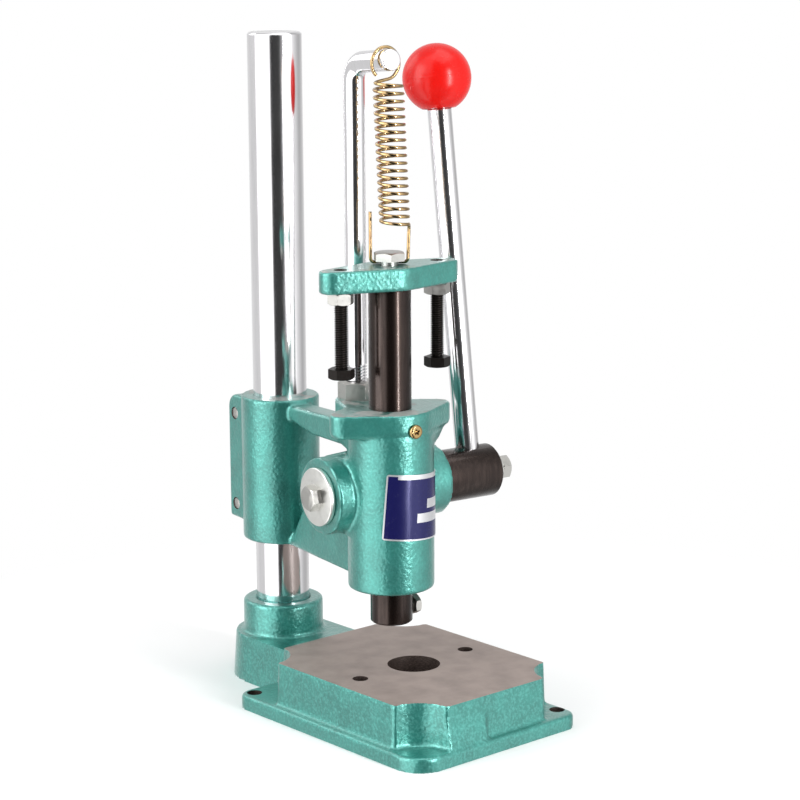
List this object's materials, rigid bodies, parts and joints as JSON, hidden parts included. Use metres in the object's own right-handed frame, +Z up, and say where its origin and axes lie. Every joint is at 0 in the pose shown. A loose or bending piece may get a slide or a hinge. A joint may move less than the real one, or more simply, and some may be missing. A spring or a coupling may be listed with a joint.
{
  "type": "manual desk press",
  "caption": "Hand lever press for a bench: rack ram with a return spring in a head that clamps on a column over a bored table.",
  "frame": {"origin": "axis of the table bore at the level of the surface that the base stands on", "axes": "+Z up along the table bore, -Y towards the operator, +X the side of the lever"},
  "size_m": [0.144, 0.2307, 0.3895],
  "materials": {
    "green_paint": "green hammertone enamel over cast iron",
    "chrome": "bright chrome plate",
    "dark_steel": "blued turned steel",
    "zinc": "bright zinc plate",
    "black_oxide": "black oxide",
    "yellow_zinc": "yellow chromated zinc on spring wire",
    "brass": "plain brass",
    "plate": "thin aluminium plate, blue with a bare border",
    "red_plastic": "glossy moulded phenolic"
  },
  "bodies": {
    "base": {"base_casting": "green_paint", "column_set_screw": "black_oxide"},
    "column": {"column": "chrome"},
    "head": {"head_casting": "green_paint", "clamp_bolts": "zinc", "hook_rod": "chrome", "hook_rod_nut": "zinc", "return_spring": "yellow_zinc", "oil_screw": "brass", "name_plate": "plate"},
    "lever": {"pinion_shaft": "dark_steel", "shaft_washer": "zinc", "shaft_bolt": "zinc", "lever_hub": "dark_steel", "hub_key": "dark_steel", "hub_washer": "zinc", "hub_lock_washer": "zinc", "hub_bolt": "zinc", "lever_rod": "chrome", "ball_knob": "red_plastic"},
    "ram": {"ram": "dark_steel", "crossbar": "green_paint", "crossbar_bolt": "zinc", "stop_bolts": "black_oxide", "stop_nuts": "zinc", "tool_clamp_screw": "zinc"}
  },
  "joints": [
    {"name": "head_swivel", "type": "hinge", "parent": "base", "child": "column", "pos_m": [0, 0.12, 0], "axis": [0, 0, 1], "continuous": true},
    {"name": "head_height", "type": "slide", "parent": "column", "child": "head", "axis": [0, 0, 1], "range_m": [-0.008, 0.2]},
    {"name": "lever_turn", "type": "hinge", "parent": "head", "child": "lever", "pos_m": [-0.01327, 0.01988, 0.136], "axis": [0.9913, -0.1314, 0], "range_deg": [0, 114.5]},
    {"name": "ram_slide", "type": "slide", "parent": "head", "child": "ram", "axis": [0, 0, -1], "range_m": [0, 0.02], "stiffness_N_per_m": 1850, "springref_m": -0.012, "deforming": ["return_spring"]}
  ],
  "couplings": [
    {"joint": "ram_slide", "follows": "lever_turn", "m_per_rad": 0.01}
  ]
}
